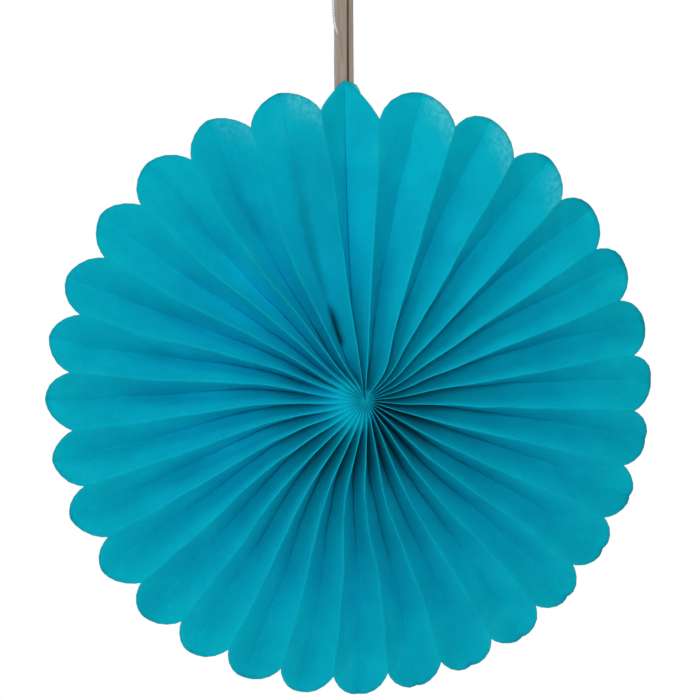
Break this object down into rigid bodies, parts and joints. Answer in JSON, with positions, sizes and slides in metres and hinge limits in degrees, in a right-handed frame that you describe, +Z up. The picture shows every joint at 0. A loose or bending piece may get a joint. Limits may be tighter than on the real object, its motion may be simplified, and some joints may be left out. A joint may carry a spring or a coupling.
{
  "type": "paper fan rosette",
  "caption": "Round pleated paper fan decoration with scalloped lobes, gathered to a shallow cone at its hub, that hangs from a doubled ribbon loop.",
  "frame": {"origin": "inside of the ribbon loop's top, where the fan hangs", "axes": "-Y towards the viewer along the fan's axis, +X to the viewer's right, +Z up"},
  "size_m": [0.3003, 0.0566, 0.3624],
  "materials": {
    "paper": "matte, lightly rubbed along the folds",
    "tape": "translucent adhesive strip",
    "glue": "dried glue",
    "ribbon": "plain woven, slightly sheened",
    "thread": "twisted, matte"
  },
  "bodies": {
    "root": {"folded_paper": "paper", "seam_tape": "tape", "hub_glue": "glue", "hanging_ribbon": "ribbon", "hanging_thread": "thread"}
  },
  "joints": []
}
